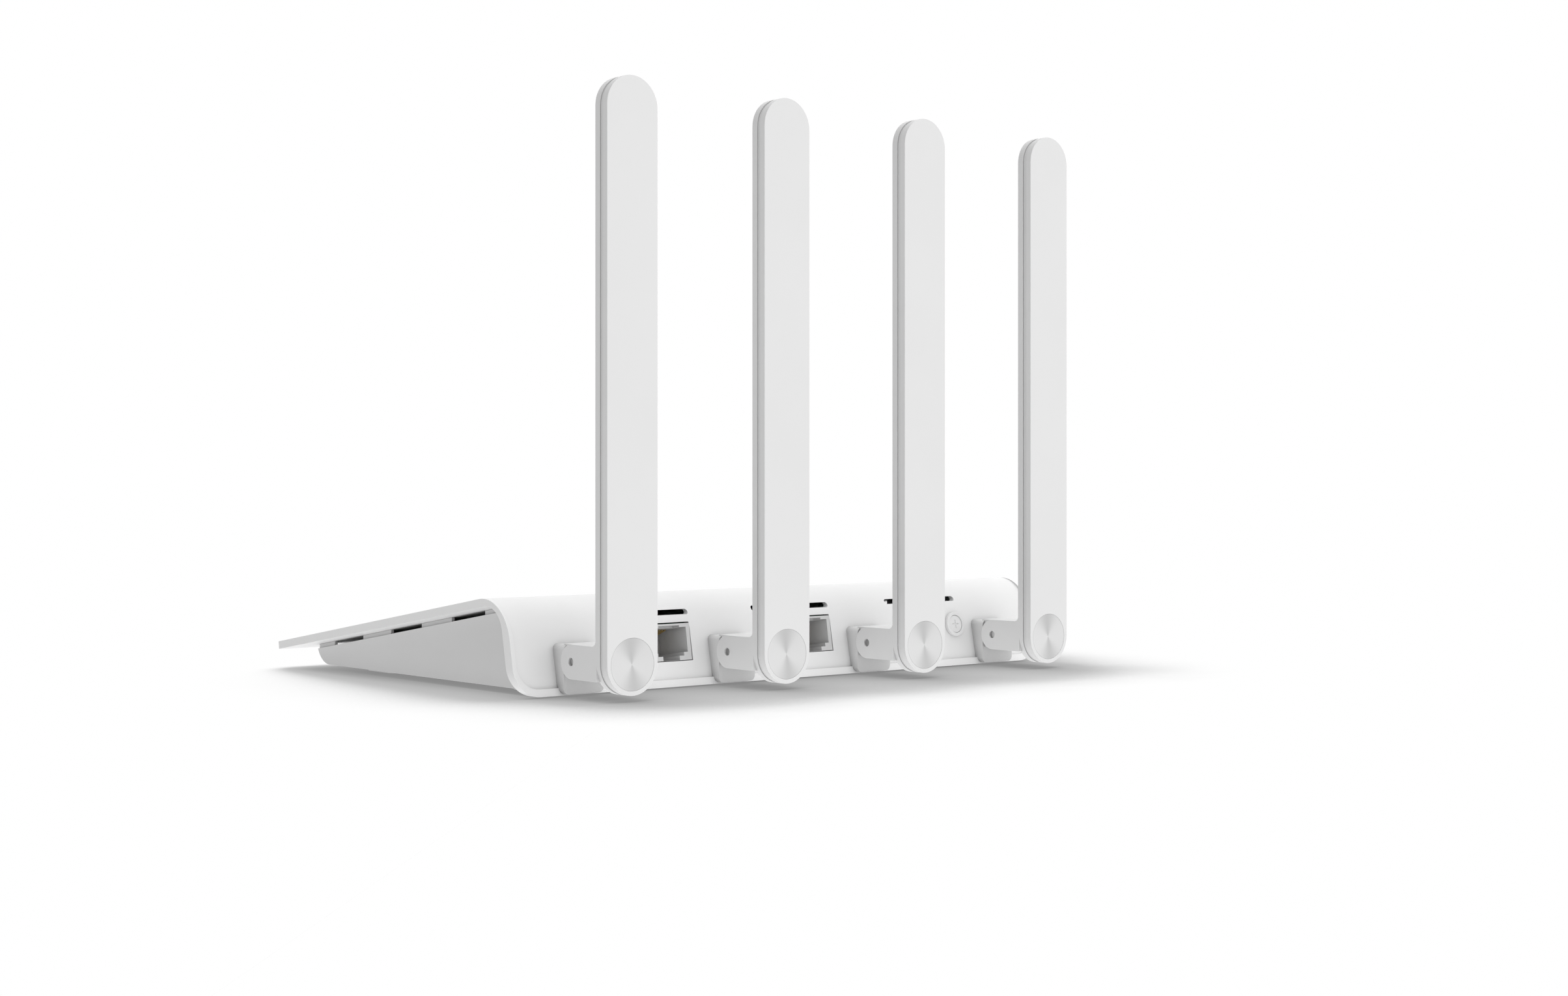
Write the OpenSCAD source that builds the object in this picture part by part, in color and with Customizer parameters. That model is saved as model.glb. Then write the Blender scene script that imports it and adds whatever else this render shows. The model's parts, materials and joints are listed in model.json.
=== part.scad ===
// Desktop wifi range extender: a bent top cover over a wedge-shaped tray, two network
// sockets and a power inlet in the rear wall, and four paddle antennas on folding hinges.
// The object stands on four pads at Z = 0. +Y is the rear, where the antennas are.

/* [Case] */
// Width of the top cover
cover_w = 198; // [190:1:210]
// Thickness of the sloping sheet of the top cover
sheet_t = 2.3; // [1.8:0.1:2.8]
// Thickness of the rear wall of the top cover
wall_t = 3.15; // [2.8:0.05:3.4]
// Depth of the sunk panel on the rear wall
panel_sink = 0.8; // [0.4:0.1:1]
// Width of the tray under the cover
tray_w = 183; // [178:1:186]
// Thickness of the tray's walls
tray_t = 2.4; // [2:0.1:3]
// Height of the air gap between the tray and the cover
gap_h = 1.25; // [0.8:0.05:1.6]

/* [Antennas] */
// Distance between neighbouring antennas
antenna_pitch = 52.5; // [50:0.5:54]
// Width of an antenna blade
blade_w = 16.2; // [15:0.1:17]
// Height of the top of the blades above the table
antenna_top = 162; // [140:1:180]
// Diameter of the hinge pins
pin_d = 2.2; // [1.8:0.1:2.4]

/* [Sockets] */
// Width of the opening for a network socket
port_w = 14.8; // [14.4:0.1:15.2]
// Height of the opening for a network socket
port_h = 10.9; // [10.6:0.1:11.2]
// Diameter of the opening for the power inlet
inlet_d = 8.4; // [8:0.1:9]
// Travel of the pairing button
button_travel = 0.5; // [0.3:0.1:0.6]

/* [Hidden] */
$fn = 64;
eps = 0.01;

// Side profile: the slope and the rear wall are two planes joined by a round bend.
slope = 8.84;
wall_lean = 11;
tip_y = -77.25;
bend_r = 12.9;
bend_y = 38.4;
bend_z = 13.0;
// Height of the underside above Y = 0, so that the upper face is tangent to the bend.
slope_at_zero = bend_z - bend_y * tan(slope) + (bend_r - sheet_t) / cos(slope);
inner_r = 7.5;
cover_foot_z = 0.4;
floor_z = 1.8;
wall_reach = bend_y * cos(wall_lean) + bend_z * sin(wall_lean) + bend_r;
inner_reach = wall_reach - wall_t;
// Centre of the inner bend: inner_r away from the underside and from the inner wall plane.
inner_lift = slope_at_zero - inner_r / cos(slope);
inner_y = (inner_reach - inner_r - sin(wall_lean) * inner_lift)
    / (cos(wall_lean) + sin(wall_lean) * tan(slope));
inner_z = inner_y * tan(slope) + inner_lift;

// Rear elevation of the cover: round lower corners and the outline of the sunk panel.
corner_r = 7.8;
tip_r = 1.5;
// The rounding runs this far out of the faces it joins, so that it meets them cleanly.
tip_over = [0.02, -0.02];
rim_w = 1.2;
strip_h = 2.0;
panel_r = 6.4;
ridge_z = 26.1;
// The panel's cutter starts this far in front of the ridge, where it runs out to nothing.
run_out = 4;

// Tray.
tray_front_y = -66.4;
tray_front_r = 7.8;
floor_t = 2;
lip_z = 5.8;
rib_t = 1.0;
rib_sunk = 0.6;
rib_w = 16;
rib_pitch = 33;
first_rib_y = -65.7;
front_rib_w = 9.4;

// Feet and the screws above them.
foot_x = 77.5;
foot_w = 10;
foot_l = 15;
foot_front_y = -44.9;
foot_rear_y = 34.1;
foot_places = [for (x = [-foot_x, foot_x], y = [foot_front_y, foot_rear_y]) [x, y]];
case_boss_d = 6;
case_boss_z = 5.85;
case_seat_d = 8;
case_shank_d = 2.8;
case_head_d = 5;
case_head_h = 1.8;

// Board frame: parallel to the cover's slope, heights measured down from the underside.
board_w = 142;
board_t = 1.6;
board_top = -6.3;
board_low = board_top - board_t;
board_front = -18;
board_rear = 46.2;
board_screw_x = 66;
board_screw_places = [
    for (x = [-board_screw_x, board_screw_x], y = [-12, 30]) [x, y]
];
board_boss_d = 5;
board_shank_d = 1.9;
board_head_d = 4.2;
board_head_h = 1.4;

// Things in the rear wall.
port_places = [46.1, -6.4];
jack_w = 14.2;
jack_h = 10.25;
jack_face = 49.5;
jack_back = 31;
cavity_w = 11.8;
cavity_h = 7.0;
cavity_depth = 13;
inlet_x = -48;
inlet_drop = 13.2;
button_x = -64.7;
button_z = 12.8;
bezel_d = 7.5;
bezel_h = 1.0;
cap_d = 5.4;
cap_bore_d = 6.2;
stem_d = 2.6;
// How far the stem may reach behind the panel when pressed, just short of the switch.
stem_reach = 4.9;
vent_l = 29.4;
vent_h = 1.5;
vent_z = 20.6;
vent_places = [for (i = [-1:1]) i * antenna_pitch];

// Antennas and hinges.
antenna_places = [for (i = [0:3]) (1.5 - i) * antenna_pitch];
pivot_y = 61.4;
pivot_z = 9.9;
blade_rear = 77.6;
blade_low = 1.7;
front_t = 1.95;
groove_t = 1.25;
groove_in = 0.3;
back_t = 2.0;
blade_in_y = blade_rear - front_t - groove_t - back_t;
seam_y = blade_in_y + back_t;
shell_t = 2.0;
skin_t = 1.2;
hollow_z = 21;
lead_top = 27;
arm_r = 4.55;
ear_t = 2.2;
slot_end_y = 71.9;
tongue_y = 69.3;
slot_w = blade_w - 2 * ear_t;
knuckle_w = slot_w - 0.5;
knuckle_r = 4.2;
block_w = 13;
block_low = 0.8;
block_top = 14;
block_rear = 55.9;
block_r = 1.5;
disc_d = 13.7;
disc_t = 0.75;
lead_d = 1.2;
lead_bore_d = 2.1;
lead_z = 7.2;
hinge_screw_x = 3.7;
hinge_screw_z = 11.6;
hinge_screw_d = 1.9;

NUMBERS = [1, 2, 3, 4];

// ---------- frames and helpers ----------

// Turns a flat (Y, Z) drawing into a solid that runs along X from -w/2 to w/2.
module along_x(w) {
    rotate([90, 0, 90]) translate([0, 0, -w / 2]) linear_extrude(w) children();
}

// Turns a flat (X, Z) drawing into a solid between the planes y0 and y1.
module along_y(y0, y1) {
    translate([0, y1, 0]) rotate([90, 0, 0]) linear_extrude(y1 - y0) children();
}

// The board frame: origin on the cover's underside, tilted with the slope.
module on_slope() {
    translate([0, 0, slope_at_zero]) rotate([slope, 0, 0]) children();
}

// A frame on the sunk panel of the rear wall, with its +Z pointing out of the wall.
function panel_y(z) = (wall_reach - z * sin(wall_lean)) / cos(wall_lean) - panel_sink;
module on_panel(x, z) {
    translate([x, panel_y(z), z]) rotate([wall_lean - 90, 0, 0]) children();
}

// A box by its two corners.
module box(low, high) {
    translate(low) cube(high - low);
}

// A flat rectangle with round corners, centred on the origin.
module round_rect(w, h, r) {
    square([w - 2 * r, h], center = true);
    square([w, h - 2 * r], center = true);
    for (x = [-1, 1], y = [-1, 1]) translate([x * (w / 2 - r), y * (h / 2 - r)]) circle(r);
}

// A round rod between two points.
module rod(a, b, d) {
    v = b - a;
    run = norm([v[0], v[1]]);
    translate(a) rotate([0, atan2(run, v[2]), atan2(v[1], v[0])]) cylinder(h = norm(v), d = d);
}

// A thin lead through a list of points, with ball corners.
module lead(points, d) {
    for (i = [1:len(points) - 1]) rod(points[i - 1], points[i], d);
    for (i = [1:len(points) - 2]) translate(points[i]) sphere(d = 1.1 * d);
}

// ---------- side profiles, drawn in (Y, Z) ----------

// Points of an arc about a centre, between two angles from the +Y direction.
bend_steps = 30;
function arc(centre, r, a0, a1) = [
    for (i = [0:bend_steps]) let (a = a0 + (a1 - a0) * i / bend_steps) centre + r * [cos(a), sin(a)]
];

// Everything under the cover's outer skin. The front edge is square to the slope.
module outer_profile() {
    lip = [tip_y, slope_at_zero + tip_y * tan(slope)];
    foot_y = (wall_reach - cover_foot_z * sin(wall_lean)) / cos(wall_lean);
    polygon(concat(
        [[foot_y, cover_foot_z]],
        arc([bend_y, bend_z], bend_r, wall_lean, 90 + slope),
        [lip + sheet_t * [-sin(slope), cos(slope)], lip, [tip_y, cover_foot_z]]
    ));
}

// The cover's sheet itself: the outer skin and the inner skin joined at the lip and the foot.
module sheet_profile() {
    lip = [tip_y, slope_at_zero + tip_y * tan(slope)];
    polygon(concat(
        [[(wall_reach - cover_foot_z * sin(wall_lean)) / cos(wall_lean), cover_foot_z]],
        arc([bend_y, bend_z], bend_r, wall_lean, 90 + slope),
        [lip + sheet_t * [-sin(slope), cos(slope)], lip],
        arc([inner_y, inner_z], inner_r, 90 + slope, wall_lean),
        [[(inner_reach - cover_foot_z * sin(wall_lean)) / cos(wall_lean), cover_foot_z]]
    ));
}

// The tray's outline: a clearance away from the cover, with a round lower front edge.
front_c = [tray_front_y + tray_front_r, floor_z + tray_front_r];
function tray_rear_y(gap) = (inner_reach - gap - floor_z * sin(wall_lean)) / cos(wall_lean);
module tray_profile(gap) {
    top = slope_at_zero * cos(slope) - gap;
    front_angle = acos((top + front_c[0] * sin(slope) - front_c[1] * cos(slope)) / tray_front_r);
    polygon(concat(
        [[tray_rear_y(gap), floor_z]],
        arc([inner_y, inner_z], inner_r - gap, wall_lean, 90 + slope),
        arc(front_c, tray_front_r, 90 + slope + front_angle, 270)
    ));
}

// The tray's inside, open at the top.
module tray_hollow_profile() {
    rear = tray_rear_y(gap_h) - tray_t;
    polygon(concat(
        [[rear, floor_z + floor_t], [rear, 40], [tray_front_y + tray_t, 40]],
        arc([front_c[0], floor_z + floor_t + tray_front_r - tray_t], tray_front_r - tray_t, 180, 270)
    ));
}

// ---------- case ----------

// Rear elevation of the sunk panel: its sides run out to the cover's ends at the ridge.
module panel_outline() {
    half = cover_w / 2;
    side = half - rim_w;
    low = cover_foot_z + strip_h;
    polygon([
        [-side, low + panel_r], [-side + panel_r, low], [side - panel_r, low],
        [side, low + panel_r], [side, 15], [side + 0.2, 19], [side + 0.6, 22.5],
        [side + 0.95, 24.8], [half, ridge_z - 0.1], [half, ridge_z + 2],
        [-half, ridge_z + 2], [-half, ridge_z - 0.1], [-side - 0.95, 24.8],
        [-side - 0.6, 22.5], [-side - 0.2, 19], [-side, 15]
    ]);
    for (x = [-1, 1]) translate([x * (side - panel_r), low + panel_r]) circle(panel_r);
}

// What is cut from the cover's outside: the round lower corners, the small round corners of
// the front lip and the sunk panel.
module cover_cuts() {
    corner_y = 30;
    corner_x = cover_w / 2 - corner_r;
    corner_z = cover_foot_z + corner_r;
    for (s = [-1, 1]) {
        difference() {
            box([s > 0 ? corner_x : -cover_w, corner_y, -1],
                [s > 0 ? cover_w : -corner_x, 80, corner_z]);
            translate([s * corner_x, 0, corner_z]) rotate([-90, 0, 0]) cylinder(r = corner_r, h = 90);
        }
    }
    tip_c = [cover_w / 2 - tip_r, tip_y / cos(slope) + tip_r] + tip_over;
    tip_out = [cover_w / 2 + 1, tip_c[1] - tip_r - 1];
    round_off = [for (i = [0:6]) tip_c + tip_r * [sin(15 * i), -cos(15 * i)]];
    on_slope() for (s = [-1, 1]) scale([s, 1, 1]) translate([0, 0, -2]) linear_extrude(8)
        polygon(concat([tip_out, [tip_c[0], tip_out[1]]], round_off, [[tip_out[0], tip_c[1]]]));
    difference() {
        along_y(bend_y - run_out, 80) panel_outline();
        translate([0, -panel_sink, 0]) along_x(cover_w + 2) outer_profile();
    }
}

// The cover as if it were solid, for shaping what sits against it.
module cover_body() {
    difference() {
        along_x(cover_w) outer_profile();
        cover_cuts();
    }
}

module port_opening(x) {
    on_slope() box([x - port_w / 2, 44, board_low - jack_h - 0.22],
        [x + port_w / 2, 70, board_low - jack_h - 0.22 + port_h]);
}

module vent_slot(x) {
    translate([x, 0, vent_z]) along_y(bend_y, 70) round_rect(vent_l, vent_h, vent_h / 2 - eps);
}

module top_cover() {
    color("whitesmoke") {
        difference() {
            along_x(cover_w) sheet_profile();
            cover_cuts();
            for (x = port_places) port_opening(x);
            for (x = vent_places) vent_slot(x);
            on_slope() translate([inlet_x, 44, -inlet_drop]) rotate([-90, 0, 0])
                cylinder(d = inlet_d, h = 20);
            on_panel(button_x, button_z) translate([0, 0, -8]) cylinder(d = cap_bore_d, h = 16);
            for (x = antenna_places) {
                translate([x, 44, lead_z]) rotate([-90, 0, 0]) cylinder(d = lead_bore_d, h = 20);
                for (s = [-1, 1]) on_panel(x + s * hinge_screw_x, hinge_screw_z)
                    translate([0, 0, -8]) cylinder(d = hinge_screw_d + 0.3, h = 16);
            }
        }
        on_slope() for (p = board_screw_places) {
            difference() {
                translate([p[0], p[1], board_top]) cylinder(d = board_boss_d, h = -board_top + 0.5);
                translate([p[0], p[1], board_top - 1]) cylinder(d = board_shank_d + 0.1, h = 6);
            }
        }
        for (p = foot_places) difference() {
            translate([p[0], p[1], case_boss_z])
                cylinder(d = case_boss_d, h = slope_at_zero + p[1] * tan(slope) - case_boss_z + 0.8);
            translate([p[0], p[1], case_boss_z - 1]) cylinder(d = case_shank_d + 0.1, h = 5);
        }
    }
}

// Upright ribs that hold the cover off the tray's edge, leaving air gaps between them. The
// last one on each side runs on round the bend and down to the foot.
module tray_ribs() {
    rib_x = tray_w / 2 - rib_sunk - rib_t;
    second_y = first_rib_y - 6.6 + rib_pitch;
    rib_y = concat(
        [[first_rib_y, first_rib_y + front_rib_w]],
        [for (i = [0:1]) let (y = second_y + i * rib_pitch) [y, y + rib_w]],
        [[second_y + 2 * rib_pitch, inner_reach]]
    );
    for (s = [-1, 1], y = rib_y) {
        intersection() {
            translate([s * (rib_x + rib_t / 2), 0, 0]) along_x(rib_t) tray_profile(0.02);
            box([-cover_w, y[0], 3], [cover_w, y[1], 60]);
        }
    }
    for (i = [-2:2]) {
        intersection() {
            translate([i * rib_pitch, 0, 0]) along_x(rib_w) tray_profile(0.02);
            box([-cover_w, tray_front_y + 1.2, 5], [cover_w, tray_front_y + tray_t, 12]);
        }
    }
}

module bottom_tray() {
    color("gainsboro") {
        difference() {
            union() {
                difference() {
                    along_x(tray_w) tray_profile(gap_h);
                    along_x(tray_w - 2 * tray_t) tray_hollow_profile();
                    box([-tray_w / 2 + tray_t, 40, lip_z], [tray_w / 2 - tray_t, 70, 40]);
                }
                for (p = foot_places) translate([p[0], p[1], floor_z])
                    cylinder(d = case_seat_d, h = case_boss_z - 0.05 - floor_z);
            }
            for (p = foot_places) {
                translate([p[0], p[1], floor_z - 1]) cylinder(d = case_head_d + 0.4, h = case_head_h + 1.1);
                translate([p[0], p[1], floor_z]) cylinder(d = case_shank_d + 0.3, h = 10);
            }
        }
        tray_ribs();
    }
}

module rubber_feet() {
    color("lightgray") for (p = foot_places)
        translate([p[0], p[1], 0]) linear_extrude(floor_z) round_rect(foot_w, foot_l, 2);
}

module case_screws() {
    color("silver") for (p = foot_places) translate([p[0], p[1], floor_z + 0.02]) {
        difference() {
            cylinder(d = case_head_d, h = case_head_h);
            for (a = [0, 90]) rotate(a) translate([-1.4, -0.35, -eps]) cube([2.8, 0.7, 1]);
        }
        translate([0, 0, case_head_h]) cylinder(d = case_shank_d, h = 5);
    }
}

// ---------- electronics, drawn in the board frame ----------

module main_board() {
    color("seagreen") on_slope() difference() {
        box([-board_w / 2, board_front, board_low], [board_w / 2, board_rear, board_top]);
        for (p = board_screw_places) translate([p[0], p[1], board_low - 1]) cylinder(d = 2.4, h = 4);
    }
}

module board_screws() {
    color("silver") on_slope() for (p = board_screw_places) translate([p[0], p[1], board_low]) {
        difference() {
            translate([0, 0, -board_head_h]) cylinder(d = board_head_d, h = board_head_h);
            for (a = [0, 90]) rotate(a) translate([-1.2, -0.3, -board_head_h - eps]) cube([2.4, 0.6, 0.8]);
        }
        cylinder(d = board_shank_d, h = board_t + 4);
    }
}

// The cavity of a network socket: plug space, keyway step and latch slot below it.
module socket_cavity(x, top) {
    y0 = jack_face - cavity_depth;
    y1 = jack_face + 1;
    box([x - cavity_w / 2, y0, top - cavity_h], [x + cavity_w / 2, y1, top]);
    box([x - 4.5, y0, top - cavity_h - 1.0], [x + 4.5, y1, top]);
    box([x - 2.9, y0, top - cavity_h - 2.2], [x + 2.9, y1, top]);
}

module lan_socket(x) {
    cavity_top = board_low - 1.0;
    color("ghostwhite") on_slope() difference() {
        box([x - jack_w / 2, jack_back, board_low - jack_h], [x + jack_w / 2, jack_face, board_low]);
        socket_cavity(x, cavity_top);
        box([x - 3.6, jack_face - 3, cavity_top - 1], [x + 3.6, jack_face + 1, cavity_top + 0.5]);
    }
}

module lan_contacts() {
    contact_pitch = 1.02;
    first = -3.5 * contact_pitch;
    color("goldenrod") on_slope() for (x = port_places, i = [0:7]) {
        cx = x + first + i * contact_pitch;
        rod([cx, jack_face - 6.5, board_low - 1.25], [cx, jack_face - 12.6, board_low - 2.6], 0.45);
    }
}

module lan_transformers() {
    color("dimgray") on_slope() for (x = port_places)
        box([x - 7.5, 21.5, board_low - 4], [x + 7.5, 29.5, board_low]);
}

module power_inlet() {
    color("black") on_slope() difference() {
        union() {
            box([inlet_x - 4.5, 35, -inlet_drop - 4.6], [inlet_x + 4.5, 46.0, board_low]);
            translate([inlet_x, 45, -inlet_drop]) rotate([-90, 0, 0])
                cylinder(d = inlet_d - 0.4, h = jack_face - 45);
        }
        translate([inlet_x, 38.5, -inlet_drop]) rotate([-90, 0, 0]) cylinder(d = 5.7, h = 20);
        translate([inlet_x, 36, -inlet_drop]) rotate([-90, 0, 0]) cylinder(d = 2.02, h = 20);
    }
}

module power_inlet_pin() {
    color("silver") on_slope() translate([inlet_x, 36.2, -inlet_drop]) rotate([-90, 0, 0])
        cylinder(d = 2, h = 11.8);
}

module processor() {
    color("dimgray") on_slope() box([3, 6, board_low - 1.2], [17, 20, board_low]);
}

module memory_chips() {
    color("dimgray") on_slope() {
        box([22, 8, board_low - 1], [32, 18, board_low]);
        box([-22.5, 24, board_low - 1.2], [-17, 32, board_low]);
    }
}

module radio_shields() {
    wall = 0.3;
    color("silver") on_slope() for (x = [-38, 50]) difference() {
        box([x - 13, -14, board_low - 2], [x + 13, 14, board_low]);
        box([x - 13 + wall, -14 + wall, board_low - 2 + wall], [x + 13 - wall, 14 - wall, board_low + 1]);
    }
}

module thermal_pad() {
    color("lightblue") on_slope() box([4, 7, board_low - 2.3], [16, 19, board_low - 1.2]);
}

module heat_spreader() {
    color("silver") on_slope() {
        box([-18, -13, board_low - 3.5], [32, 20, board_low - 2.3]);
        for (x = [-16, 30]) box([x - 1, -12, board_low - 2.3], [x + 1, -6, board_low]);
    }
}

module capacitors() {
    color("dimgray") on_slope() for (x = [-34, -42])
        translate([x, 25, board_low - 6.5]) cylinder(d = 6.3, h = 6.5);
}

module power_choke() {
    color("dimgray") on_slope() box([-55.5, 22, board_low - 3.2], [-49, 28.5, board_low]);
}

module tact_switch() {
    color("dimgray") on_slope() {
        drop = -12.65;
        box([button_x - 3.2, 40.4, drop - 2.8], [button_x + 3.2, 43.8, board_low]);
        translate([button_x, 43.8, drop]) rotate([-90, 0, 0]) cylinder(d = 2.8, h = 0.5);
    }
}

module coax_sockets() {
    color("gold") on_slope() for (x = [58, antenna_pitch / 2, -antenna_pitch / 2, -58])
        translate([x, 38, board_low - 1.3]) cylinder(d = 2.6, h = 1.3);
}

module coax_leads() {
    // Where a lead meets its socket under the board.
    plug_y = 38 * cos(slope) - (board_low - 1.3) * sin(slope);
    plug_z = slope_at_zero + 38 * sin(slope) + (board_low - 1.3) * cos(slope);
    color("dimgray") for (x = antenna_places) {
        inboard = sign(x) * 58;
        turn = [x, plug_y, lead_z];
        lead(abs(x) > 60
            ? [[x, pivot_y, lead_z], turn, [inboard, plug_y, lead_z], [inboard, plug_y, plug_z - 0.12]]
            : [[x, pivot_y, lead_z], turn, [x, plug_y, plug_z - 0.12]], lead_d);
    }
}

// ---------- pairing button ----------

module button_bezel() {
    color("white") on_panel(button_x, button_z) difference() {
        union() {
            cylinder(d = bezel_d, h = bezel_h);
            translate([0, 0, -1.6]) cylinder(d = cap_bore_d - 0.06, h = 1.7);
        }
        translate([0, 0, -3]) cylinder(d = cap_d + 0.1, h = 6);
    }
}

// The cap: a round head with a small plus sunk in its face, and a stem to the switch.
module pairing_button() {
    face = 0.75;
    color("white") on_panel(button_x, button_z) {
        difference() {
            translate([0, 0, -1.2]) cylinder(d = cap_d - 0.08, h = 1.2 + face);
            for (a = [0, 90]) rotate(a) translate([-1.25, -0.22, face - 0.3]) cube([2.5, 0.44, 1]);
        }
        translate([0, 0, button_travel - stem_reach])
            cylinder(d = stem_d, h = stem_reach - button_travel - 1.1);
    }
}

// ---------- hinges ----------

module hinge_base(x) {
    block_h = block_top - block_low;
    color("whitesmoke") difference() {
        union() {
            translate([x, 0, (block_top + block_low) / 2]) along_y(45, block_rear)
                round_rect(block_w, block_h, block_r);
            box([x - knuckle_w / 2, block_rear - 1, pivot_z - knuckle_r],
                [x + knuckle_w / 2, pivot_y, pivot_z + knuckle_r]);
            box([x - knuckle_w / 2, block_rear - 1, pivot_z - 1],
                [x + knuckle_w / 2, tongue_y, pivot_z + knuckle_r + 0.1]);
            translate([x, pivot_y, pivot_z]) rotate([0, 90, 0])
                cylinder(r = knuckle_r, h = knuckle_w, center = true);
        }
        cover_body();
        translate([x, pivot_y, pivot_z]) rotate([0, 90, 0])
            cylinder(d = pin_d + 0.08, h = knuckle_w + 2, center = true);
        translate([x, 44, lead_z]) rotate([-90, 0, 0]) cylinder(d = lead_bore_d, h = 40);
        for (s = [-1, 1]) on_panel(x + s * hinge_screw_x, hinge_screw_z)
            translate([0, 0, -4]) cylinder(d = hinge_screw_d + 0.06, h = 7.6);
    }
}

module hinge_screws() {
    under_head = panel_sink - wall_t;
    color("silver") for (x = antenna_places, s = [-1, 1])
        on_panel(x + s * hinge_screw_x, hinge_screw_z) {
            translate([0, 0, -3.75]) cylinder(d = 3.4, h = 1.3);
            translate([0, 0, -2.5]) cylinder(d = hinge_screw_d, h = 5.9);
        }
}

module hinge_pin(x) {
    color("silver") translate([x, pivot_y, pivot_z]) rotate([0, 90, 0])
        cylinder(d = pin_d, h = blade_w - 1.2, center = true);
}

// ---------- antennas ----------

// Outline of a blade in (X, Z), drawn in by a margin.
module blade_outline(inset) {
    r = blade_w / 2 - inset;
    low = blade_low + blade_w / 2;
    high = antenna_top - blade_w / 2;
    translate([0, low]) circle(r);
    translate([0, high]) circle(r);
    translate([-r, low]) square([2 * r, high - low]);
}

// The hollow of a blade, above the solid foot that carries the arm and the disc.
module blade_hollow() {
    intersection() {
        blade_outline(shell_t);
        translate([-blade_w, hollow_z]) square([2 * blade_w, antenna_top]);
    }
}

module antenna_front(x) {
    color("white") translate([x, 0, 0]) difference() {
        union() {
            along_y(blade_rear - front_t, blade_rear) blade_outline(0);
            along_y(seam_y, blade_rear - front_t + eps) blade_outline(groove_in);
        }
        along_y(seam_y - 1, blade_rear - skin_t) blade_hollow();
        translate([0, blade_rear + 1, blade_low + blade_w / 2]) rotate([90, 0, 0])
            cylinder(d = disc_d + 0.1, h = 1.8);
    }
}

// Side view of the arm in (Y, Z): a round end, two level edges and a blend into the blade above.
module arm_profile() {
    root = blade_in_y + 0.5;
    top = pivot_z + arm_r;
    low = pivot_z - arm_r;
    top_blend = 1.5;
    translate([pivot_y, pivot_z]) circle(arm_r);
    difference() {
        polygon([
            [pivot_y, low], [root, low], [root, top + top_blend],
            [blade_in_y - top_blend, top + top_blend], [blade_in_y - top_blend, top], [pivot_y, top]
        ]);
        translate([blade_in_y - top_blend, top + top_blend]) circle(top_blend);
    }
}

module antenna_back(x) {
    color("white") translate([x, 0, 0]) difference() {
        union() {
            along_y(blade_in_y, seam_y) blade_outline(0);
            along_x(blade_w) arm_profile();
        }
        box([-slot_w / 2, pivot_y - arm_r - 2, pivot_z - arm_r - 4],
            [slot_w / 2, slot_end_y, pivot_z + arm_r + 0.01]);
        translate([0, pivot_y, pivot_z]) rotate([0, 90, 0])
            cylinder(d = pin_d, h = blade_w + 2, center = true);
        along_y(blade_in_y + skin_t, seam_y + 1) blade_hollow();
        translate([0, slot_end_y - 1, lead_z]) rotate([-90, 0, 0]) cylinder(d = lead_bore_d, h = 20);
        box([-0.9, blade_in_y + 0.25, lead_z], [0.9, seam_y + 1, lead_top + 1]);
    }
}

// The spun disc let into the foot of each blade, with fine rings in a shallow dish.
module antenna_disc(x) {
    rings = 12;
    ring_step = 0.52;
    dish = 0.35;
    color("gainsboro") translate([x, blade_rear - 0.8 + disc_t, blade_low + blade_w / 2]) rotate([90, 0, 0])
        rotate_extrude($fn = 96) difference() {
            square([disc_d / 2, disc_t]);
            polygon([[-1, -1], [-1, dish], [0, dish], [disc_d / 2 - 0.3, 0], [disc_d / 2, -1]]);
            for (i = [1:rings]) translate([i * ring_step - 0.1, dish * (1 - i * ring_step / 6.55) - 0.01])
                square([0.2, 0.08]);
        }
}

module aerial_board(x) {
    color("seagreen") translate([x, 0, 0])
        box([-5, seam_y - 0.4, hollow_z + 2], [5, seam_y + 0.4, antenna_top - blade_w / 2 - 3]);
}

module aerial_lead(x) {
    lead_y = blade_in_y + 0.95;
    color("dimgray") lead([[x, slot_end_y + 0.2, lead_z], [x, lead_y - 1, lead_z],
        [x, lead_y, lead_z + 1], [x, lead_y, lead_top]], lead_d);
}

// ---------- the parts, one node at a time ----------

top_cover();
bottom_tray();
rubber_feet();
main_board();
for (n = [1, 2]) lan_socket(port_places[n - 1]);
lan_contacts();
lan_transformers();
power_inlet();
power_inlet_pin();
processor();
memory_chips();
radio_shields();
thermal_pad();
heat_spreader();
capacitors();
power_choke();
button_bezel();
pairing_button();
tact_switch();
board_screws();
case_screws();
hinge_screws();
coax_sockets();
coax_leads();
for (n = NUMBERS) {
    place = antenna_places[n - 1];
    hinge_base(place);
    hinge_pin(place);
    antenna_back(place);
    antenna_front(place);
    antenna_disc(place);
    aerial_board(place);
    aerial_lead(place);
}
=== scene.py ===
"""Wifi range extender: materials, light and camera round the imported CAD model."""

import json
import math

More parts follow.
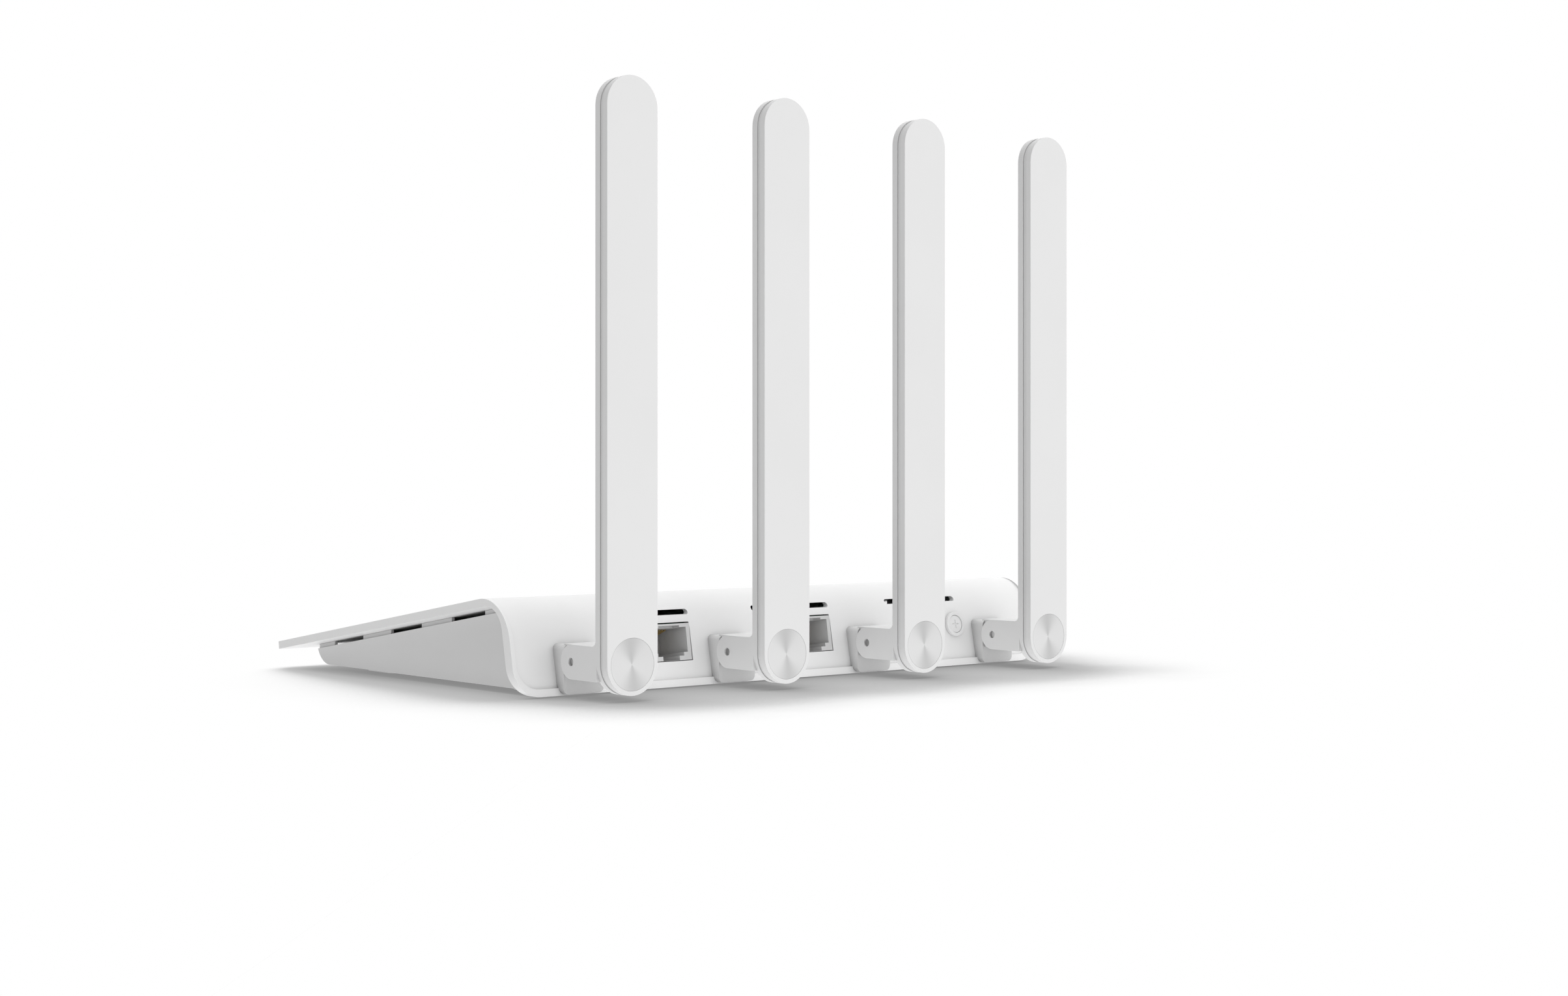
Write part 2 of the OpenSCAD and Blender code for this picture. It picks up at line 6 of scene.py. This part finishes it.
import bmesh
import bpy
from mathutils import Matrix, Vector


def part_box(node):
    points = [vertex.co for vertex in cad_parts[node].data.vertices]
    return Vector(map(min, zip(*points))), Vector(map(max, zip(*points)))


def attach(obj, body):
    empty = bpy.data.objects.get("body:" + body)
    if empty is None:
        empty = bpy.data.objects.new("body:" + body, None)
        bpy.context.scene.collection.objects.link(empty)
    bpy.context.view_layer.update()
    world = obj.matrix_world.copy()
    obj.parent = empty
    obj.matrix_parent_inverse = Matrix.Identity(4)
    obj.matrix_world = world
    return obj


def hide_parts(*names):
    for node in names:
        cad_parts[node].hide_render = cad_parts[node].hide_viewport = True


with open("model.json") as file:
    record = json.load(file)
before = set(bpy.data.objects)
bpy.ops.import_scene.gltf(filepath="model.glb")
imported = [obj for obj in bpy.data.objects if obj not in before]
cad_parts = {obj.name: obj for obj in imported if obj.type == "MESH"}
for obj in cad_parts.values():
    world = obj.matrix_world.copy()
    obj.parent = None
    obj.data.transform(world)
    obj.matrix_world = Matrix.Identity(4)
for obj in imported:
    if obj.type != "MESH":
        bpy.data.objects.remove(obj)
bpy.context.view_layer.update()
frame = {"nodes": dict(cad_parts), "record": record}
nodes = frame["nodes"]
MM = 0.001
NUMBERS = (1, 2, 3, 4)
SLOT_OF = {row["node"]: row["material_slot"] for row in frame["record"]["subparts"]}
BODIES = frame["record"]["behaviour"]["bodies"]
BODY_OF = {node: body for body, members in BODIES.items() for node in members}

# ---------- camera ----------

CAMERA_PLACE = Vector((413.9, 530.1, 57.0)) * MM
VIEW_AZIMUTH = math.radians(139.5)
LENS = 50.0
SENSOR = 36.0
HORIZON_SHIFT = -0.0104


def make_camera():
    """A level camera behind the object and to its +X side, as the object was seen."""
    data = bpy.data.cameras.new("camera")
    data.lens = LENS
    data.sensor_width = SENSOR
    data.sensor_fit = "HORIZONTAL"
    data.shift_y = HORIZON_SHIFT
    data.clip_start = 0.01
    data.clip_end = 50.0
    camera = bpy.data.objects.new("camera", data)
    bpy.context.scene.collection.objects.link(camera)
    back = Vector((math.sin(VIEW_AZIMUTH), -math.cos(VIEW_AZIMUTH), 0.0))
    camera.location = CAMERA_PLACE
    camera.rotation_mode = "QUATERNION"
    camera.rotation_quaternion = (-back).to_track_quat("-Z", "Y")
    bpy.context.scene.camera = camera


# ---------- helpers for node trees ----------


def grey(value):
    return (value, value, value, 1.0)


def tone(colour, factor):
    return tuple(min(1.0, c * factor) for c in colour[:3]) + (1.0,)


class Tree:
    """A short way to build a node tree: add nodes, set their inputs, link them."""

    def __init__(self, tree):
        self.tree = tree
        self.tree.nodes.clear()

    def add(self, kind, **settings):
        node = self.tree.nodes.new(kind)
        for key, value in settings.items():
            setattr(node, key, value)
        return node

    def link(self, source, target):
        self.tree.links.new(source, target)

    def feed(self, socket, value):
        """Sets a socket to a plain value, or links another node's output to it."""
        if hasattr(value, "links"):
            self.link(value, socket)
        else:
            socket.default_value = value

    def maths(self, operation, *values):
        node = self.add("ShaderNodeMath", operation=operation)
        for socket, value in zip(node.inputs, values):
            self.feed(socket, value)
        return node.outputs["Value"]

    def vector(self, operation, *values):
        """A vector operation; a dot product gives its number, anything else its vector."""
        node = self.add("ShaderNodeVectorMath", operation=operation)
        for socket, value in zip(node.inputs, values):
            self.feed(socket, value)
        return node.outputs["Value" if operation == "DOT_PRODUCT" else "Vector"]

    def scaled(self, vector, factor):
        node = self.add("ShaderNodeVectorMath", operation="SCALE")
        self.link(vector, node.inputs[0])
        self.link(factor, node.inputs["Scale"])
        return node.outputs["Vector"]

    def spread(self, value, span=(0.0, 1.0), to=(0.0, 1.0), smooth=False):
        """Maps a value from one span to another, and keeps it inside."""
        node = self.add("ShaderNodeMapRange", interpolation_type="SMOOTHSTEP" if smooth else "LINEAR")
        ends = {"From Min": span[0], "From Max": span[1], "To Min": to[0], "To Max": to[1]}
        for name, end in ends.items():
            node.inputs[name].default_value = end
        self.link(value, node.inputs["Value"])
        return node.outputs["Result"]

    def mix(self, factor, a, b, blend="MIX"):
        node = self.add("ShaderNodeMix", data_type="RGBA", blend_type=blend)
        self.feed(node.inputs["Factor"], factor)
        self.feed(node.inputs["A"], a)
        self.feed(node.inputs["B"], b)
        return node.outputs["Result"]

    def seen_by_camera(self):
        return self.add("ShaderNodeLightPath").outputs["Is Camera Ray"]


NOISE_SPAN = (0.3, 0.7)


class Surface(Tree):
    """A new material with one main shader and noise in the object's own coordinates."""

    def __init__(self, name):
        self.material = bpy.data.materials.new(name)
        self.material.use_nodes = True
        super().__init__(self.material.node_tree)
        self.shader = self.add("ShaderNodeBsdfPrincipled")
        output = self.add("ShaderNodeOutputMaterial")
        self.link(self.shader.outputs["BSDF"], output.inputs["Surface"])
        self.coords = self.add("ShaderNodeTexCoord").outputs["Object"]

    def noise(self, size_mm, detail):
        """A noise value from 0 to 1 whose features are about size_mm across."""
        sized = self.add("ShaderNodeMapping")
        sized.inputs["Scale"].default_value = [1 / (size_mm * MM)] * 3
        self.link(self.coords, sized.inputs["Vector"])
        noise = self.add("ShaderNodeTexNoise")
        noise.inputs["Scale"].default_value = 1.0
        noise.inputs["Detail"].default_value = detail
        self.link(sized.outputs["Vector"], noise.inputs["Vector"])
        return noise.outputs["Fac"]

    def patches(self, size_mm, detail, low, high):
        """Noise whose usual span is mapped to low..high."""
        return self.spread(self.noise(size_mm, detail), NOISE_SPAN, (low, high))


# ---------- materials ----------

EDGE_RADIUS = 0.35
EDGE_AGREE = (0.98, 0.8)
OPEN_SPAN = (0.1, 0.9)
DRIFT_MM = 23.0
ROUGH_PATCH_MM = 6.0
ROUGH_SWING = 0.1
SPECK_SHARE = 0.35
GRAIN_HEIGHT = 0.3


def edge_mask(made):
    """1 close to sharp edges, 0 on open faces: where a rounded normal leaves the flat one."""
    rounded = made.add("ShaderNodeBevel", samples=4)
    rounded.inputs["Radius"].default_value = EDGE_RADIUS * MM
    flat = made.add("ShaderNodeNewGeometry").outputs["Normal"]
    agree = made.vector("DOT_PRODUCT", rounded.outputs["Normal"], flat)
    return made.spread(agree, EDGE_AGREE)


def painted_crevice_shade(made, colour, reach_mm, depth):
    """Painted shade: darkens a colour in seams and narrow gaps, where little light gets in, as ambient
    occlusion finds them.
    """
    open_part = made.add("ShaderNodeAmbientOcclusion", samples=6)
    open_part.inputs["Distance"].default_value = reach_mm * MM
    keep = made.spread(open_part.outputs["AO"], OPEN_SPAN, (1.0 - depth, 1.0))
    return made.scaled(colour, keep)


def surface(name, colour, rough, grain_mm=0.12, bump=0.04, vary=0.01, metallic=0.0, wear=1.015,
            painted_shade_mm=2.0, painted_shade_depth=0.3):
    """A moulded or plated surface: slow colour drift, fine grain, worn edges, and painted shade in seams
    and gaps.
    """
    made = Surface(name)
    shader = made.shader
    shader.inputs["Metallic"].default_value = metallic
    fine = made.noise(grain_mm, 2.0)
    slow = made.patches(DRIFT_MM, 3.0, 0.0, 1.0)
    drift = made.mix(slow, tone(colour, 1.0 - vary), tone(colour, 1.0 + vary))
    speck_amount = made.spread(fine, NOISE_SPAN, (0.0, SPECK_SHARE))
    speck = made.mix(speck_amount, drift, tone(colour, 1.0 - 2 * vary))
    worn = made.mix(edge_mask(made), speck, tone(colour, wear))
    # Painted shade: the colour is darkened where ambient occlusion finds seams, gaps and nearby parts.
    made.link(painted_crevice_shade(made, worn, painted_shade_mm, painted_shade_depth), shader.inputs["Base Color"])
    patchy = made.patches(ROUGH_PATCH_MM, 3.0, rough * (1.0 - ROUGH_SWING), rough * (1.0 + ROUGH_SWING))
    made.link(patchy, shader.inputs["Roughness"])
    relief = made.add("ShaderNodeBump")
    relief.inputs["Strength"].default_value = bump
    relief.inputs["Distance"].default_value = grain_mm * MM * GRAIN_HEIGHT
    made.link(fine, relief.inputs["Height"])
    made.link(relief.outputs["Normal"], shader.inputs["Normal"])
    return made


SPIN_STRETCH = 0.8
PAINTED_SHEEN_LEAN = math.radians(-8)
PAINTED_SHEEN_SPAN = (0.0, 0.85)
PAINTED_SHEEN_LEVELS = (0.81, 1.04)


def spun_with_painted_sheen(made):
    """Turns a surface into a spun one: stretched highlights from anisotropic shading, and a painted sheen
    that makes the base colour brighter in sectors left and right.
    """
    shader = made.shader
    turn = made.add("ShaderNodeTangent", direction_type="RADIAL", axis="Y")
    made.link(turn.outputs["Tangent"], shader.inputs["Tangent"])
    shader.inputs["Anisotropic"].default_value = SPIN_STRETCH
    across = made.add("ShaderNodeTexCoord").outputs["Generated"]
    from_middle = made.vector("SUBTRACT", across, (0.5, 0.5, 0.5))
    in_plane = made.vector("MULTIPLY", from_middle, (1.0, 0.0, 1.0))
    # How far round from the painted sheen's dark line a point lies; the line leans a little from upright.
    sideways = (math.cos(PAINTED_SHEEN_LEAN), 0.0, math.sin(PAINTED_SHEEN_LEAN))
    along = made.vector("DOT_PRODUCT", made.vector("NORMALIZE", in_plane), sideways)
    # Painted sheen: the base colour is scaled brighter or darker by the angle round the disc's middle.
    level = made.spread(made.maths("ABSOLUTE", along), PAINTED_SHEEN_SPAN, PAINTED_SHEEN_LEVELS, smooth=True)
    base = shader.inputs["Base Color"].links[0].from_socket
    made.link(made.scaled(base, level), shader.inputs["Base Color"])
    return made


GOLD = (0.83, 0.6, 0.25, 1.0)
SOLDER_MASK = (0.03, 0.2, 0.09, 1.0)
SOFT_BLUE = (0.4, 0.5, 0.6, 1.0)
MATERIALS = {
    "cover_plastic": surface("cover_plastic", grey(0.86), 0.42, grain_mm=0.3, vary=0.012),
    # Painted shade reaches 8 mm on the tray, so it darkens under the lid's overhang.
    "tray_plastic": surface("tray_plastic", grey(0.71), 0.55, grain_mm=0.3, bump=0.1,
                            painted_shade_mm=8.0, painted_shade_depth=0.22),
    # Painted shade reaches 6 mm on the hinge blocks, so their faces darken under the arms.
    "hinge_plastic": surface("hinge_plastic", grey(0.8), 0.45, painted_shade_mm=6.0, painted_shade_depth=0.7),
    "antenna_plastic": surface("antenna_plastic", grey(0.785), 0.4, painted_shade_mm=1.5, painted_shade_depth=0.45),
    "antenna_disc": spun_with_painted_sheen(surface("antenna_disc", grey(0.69), 0.38, vary=0.004, metallic=0.25,
                                 painted_shade_depth=0.1)),
    "button_plastic": surface("button_plastic", grey(0.82), 0.4, painted_shade_depth=0.05),
    "feet_rubber": surface("feet_rubber", grey(0.7), 0.8, grain_mm=0.3, bump=0.2),
    "socket_plastic": surface("socket_plastic", grey(0.64), 0.45),
    "gold_contacts": surface("gold_contacts", GOLD, 0.3, metallic=1.0),
    "board": surface("board", SOLDER_MASK, 0.35, vary=0.1),
    "chip_plastic": surface("chip_plastic", grey(0.03), 0.5, vary=0.1),
    "inlet_plastic": surface("inlet_plastic", grey(0.02), 0.4, vary=0.1),
    "steel": surface("steel", grey(0.6), 0.3, metallic=1.0),
    "shield_metal": surface("shield_metal", grey(0.65), 0.35, metallic=1.0),
    "heat_metal": surface("heat_metal", grey(0.7), 0.4, metallic=1.0),
    "pad_rubber": surface("pad_rubber", SOFT_BLUE, 0.8),
    "capacitor_metal": surface("capacitor_metal", grey(0.55), 0.3, metallic=1.0),
    "lead_jacket": surface("lead_jacket", grey(0.04), 0.5, vary=0.1),
}


def paint(thing, made):
    thing.data.materials.clear()
    thing.data.materials.append(made.material)


# ---------- pieces made from the CAD shapes, with moulded edges ----------

SAME_POINT = 0.002
FLAT = math.radians(0.3)
SHARP = math.radians(24)
FACET = math.radians(14)
# Radius of the rounded edges in mm, and how many strips they are made of.
THIN_EDGE = (0.08, 1)
CAP_EDGE = (0.12, 2)
BEZEL_EDGE = (0.3, 3)
BLOCK_EDGE = (0.55, 5)


def add_piece(name, mesh, node):
    """Puts a finished mesh in the scene in place of a CAD node."""
    piece = bpy.data.objects.new(name, mesh)
    bpy.context.scene.collection.objects.link(piece)
    paint(piece, MATERIALS[SLOT_OF[node]])
    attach(piece, BODY_OF[node])
    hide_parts(node)


def shade_round(shape):
    """Smooth shading, except across the edges that turn by more than a facet does."""
    for face in shape.faces:
        face.smooth = True
    for edge in shape.edges:
        edge.smooth = edge.calc_face_angle(0.0) < FACET


def moulded(node, radius_mm, segments):
    """The node's own shape with its sharp edges rounded a little, as a mould leaves them."""
    shape = bmesh.new()
    shape.from_mesh(nodes[node].data)
    bmesh.ops.remove_doubles(shape, verts=shape.verts, dist=SAME_POINT * MM)
    bmesh.ops.dissolve_limit(shape, angle_limit=FLAT, verts=shape.verts, edges=shape.edges)
    sharp = [e for e in shape.edges if len(e.link_faces) == 2 and e.calc_face_angle(0.0) > SHARP]
    bmesh.ops.bevel(shape, geom=sharp, offset=radius_mm * MM, offset_type="OFFSET", segments=segments,
                    profile=0.5, affect="EDGES", clamp_overlap=True, miter_outer="SHARP")
    shade_round(shape)
    mesh = bpy.data.meshes.new(node + "_moulded")
    shape.to_mesh(mesh)
    shape.free()
    add_piece(node + "_moulded", mesh, node)


DISC_SIDES = 144
DISC_R = 6.88
DISC_BACK = 0.7
RIM_EASE = 0.05
DISH_R = 6.5
DISH_DEPTH = 0.3
DISC_RINGS = 17
RING_DEPTH = 0.02
RING_SHARE = 0.45


def dish_depth(radius):
    return DISH_DEPTH * (1 - radius / DISH_R)


def disc_profile():
    """Radius and depth of the disc's face in mm: a flat rim, then rings down a shallow dish."""
    points = [(DISC_R, DISC_BACK), (DISC_R, RIM_EASE), (DISC_R - RIM_EASE, 0.0), (DISH_R, 0.0)]
    step = DISH_R / DISC_RINGS
    for ring in range(DISC_RINGS):
        crest = DISH_R - ring * step
        valley = crest - step * RING_SHARE
        points.append((valley, dish_depth(valley) + RING_DEPTH))
        if ring < DISC_RINGS - 1:
            points.append((crest - step, dish_depth(crest - step)))
    return points


def ringed_disc(number):
    """The spun disc at an antenna's foot, with its fine rings cut as real grooves."""
    node = f"antenna_disc_{number}"
    low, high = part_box(node)
    centre = [(low[i] + high[i]) / 2 for i in range(3)]
    shape = bmesh.new()
    rows = []
    for radius, depth in disc_profile():
        turns = [2 * math.pi * step / DISC_SIDES for step in range(DISC_SIDES)]
        rows.append([shape.verts.new((centre[0] + radius * MM * math.cos(turn), high[1] - depth * MM,
                                      centre[2] + radius * MM * math.sin(turn))) for turn in turns])
    for outer, inner in zip(rows, rows[1:]):
        for step in range(DISC_SIDES):
            shape.faces.new((outer[step - 1], outer[step], inner[step], inner[step - 1]))
    shape.faces.new(reversed(rows[0]))
    shape.faces.new(rows[-1])
    bmesh.ops.recalc_face_normals(shape, faces=shape.faces)
    shade_round(shape)
    mesh = bpy.data.meshes.new(node + "_rings")
    shape.to_mesh(mesh)
    shape.free()
    add_piece(node + "_rings", mesh, node)


# ---------- floor ----------

FLOOR_HALF = 8.0
SHADE_REACH = 0.06
# The floor's painted shadow is gathered toward the object's front, so it is deepest behind the wall.
SHADE_LEAN = (0.0, -0.6, 0.8)
# How open a spot on the floor is, and how light the painted shadow then leaves it.
SHADE_CURVE = ((0.0, 0.2), (0.3, 0.32), (0.55, 0.48), (0.72, 0.54), (0.84, 0.78), (0.94, 1.0), (1.0, 1.0))
BOUNCE_FULL_AT = 0.5
BOUNCE_LOW = 0.78
FIBRE_TONES = (grey(0.999), grey(1.0))


def glowing_paper_with_painted_shadow():
    """White paper that glows evenly, carries a painted soft shadow close to the object and glows as a
    lamp to light it from below.
    """
    made = Surface("floor_paper")
    made.shader.inputs["Base Color"].default_value = grey(0.0)
    made.shader.inputs["Roughness"].default_value = 1.0
    made.shader.inputs["Specular IOR Level"].default_value = 0.0
    lean = made.add("ShaderNodeCombineXYZ")
    for axis, value in zip("XYZ", SHADE_LEAN):
        lean.inputs[axis].default_value = value
    openness = made.add("ShaderNodeAmbientOcclusion", samples=24)
    openness.inputs["Distance"].default_value = SHADE_REACH
    made.link(lean.outputs["Vector"], openness.inputs["Normal"])
    # Painted shadow: the camera sees the floor's glow darkened where ambient occlusion finds the object
    # close by.
    shade = made.add("ShaderNodeValToRGB")
    made.link(openness.outputs["AO"], shade.inputs["Fac"])
    stops = shade.color_ramp.elements
    for place, value in SHADE_CURVE[1:-1]:
        stops.new(place).color = grey(value)
    for end in (0, -1):
        stops[end].position = SHADE_CURVE[end][0]
        stops[end].color = grey(SHADE_CURVE[end][1])
    # Painted light: to other rays the paper glows as a lamp, dimmer close to the object, standing in for
    # bounce light from below.
    bounce = made.spread(openness.outputs["AO"], (0.0, BOUNCE_FULL_AT), (BOUNCE_LOW, 1.0))
    fibre = made.mix(made.patches(1.0, 2.0, 0.0, 1.0), *FIBRE_TONES)
    seen_glow = made.mix(1.0, shade.outputs["Color"], fibre, "MULTIPLY")
    glow = made.mix(made.seen_by_camera(), bounce, seen_glow)
    made.link(glow, made.shader.inputs["Emission Color"])
    made.shader.inputs["Emission Strength"].default_value = 1.0
    return made


def make_floor():
    mesh = bpy.data.meshes.new("floor")
    corners = [(x * FLOOR_HALF, y * FLOOR_HALF, 0) for x, y in ((-1, -1), (1, -1), (1, 1), (-1, 1))]
    mesh.from_pydata(corners, [], [(0, 1, 2, 3)])
    floor = bpy.data.objects.new("floor", mesh)
    bpy.context.scene.collection.objects.link(floor)
    paint(floor, glowing_paper_with_painted_shadow())


# ---------- light ----------

SKY_LEVEL = 0.62
SKY_WEIGHTS = {"X": -0.85, "Y": 0.16, "Z": 0.74}
SKY_LOW = 0.02
SKY_HIGH = 1.4


def make_light():
    """A white studio: its light grows overhead and toward -X, and is dimmest at the +X side."""
    world = bpy.data.worlds.new("world")
    bpy.context.scene.world = world
    world.use_nodes = True
    made = Tree(world.node_tree)
    direction = made.add("ShaderNodeTexCoord").outputs["Generated"]
    split = made.add("ShaderNodeSeparateXYZ")
    made.link(direction, split.inputs["Vector"])
    level = SKY_LEVEL
    for axis, weight in SKY_WEIGHTS.items():
        level = made.maths("MULTIPLY_ADD", split.outputs[axis], weight, level)
    limited = made.add("ShaderNodeClamp")
    limited.inputs["Min"].default_value = SKY_LOW
    limited.inputs["Max"].default_value = SKY_HIGH
    made.link(level, limited.inputs["Value"])
    lit = made.add("ShaderNodeBackground")
    lit.inputs["Color"].default_value = grey(1.0)
    made.link(limited.outputs["Result"], lit.inputs["Strength"])
    backdrop = made.add("ShaderNodeBackground")
    backdrop.inputs["Color"].default_value = grey(1.0)
    backdrop.inputs["Strength"].default_value = 1.0
    choose = made.add("ShaderNodeMixShader")
    made.link(made.seen_by_camera(), choose.inputs["Fac"])
    made.link(lit.outputs["Background"], choose.inputs[1])
    made.link(backdrop.outputs["Background"], choose.inputs[2])
    out = made.add("ShaderNodeOutputWorld")
    made.link(choose.outputs["Shader"], out.inputs["Surface"])
    bpy.context.scene.view_settings.view_transform = "Standard"


# ---------- the scene ----------

make_camera()
for node, slot in SLOT_OF.items():
    paint(nodes[node], MATERIALS[slot])
for node in ("top_cover", "bottom_tray", "rubber_feet"):
    moulded(node, *THIN_EDGE)
moulded("button_bezel", *BEZEL_EDGE)
moulded("pairing_button", *CAP_EDGE)
for number in NUMBERS:
    moulded(f"hinge_base_{number}", *BLOCK_EDGE)
    moulded(f"antenna_back_{number}", *THIN_EDGE)
    moulded(f"antenna_front_{number}", *THIN_EDGE)
    ringed_disc(number)
make_floor()
make_light()
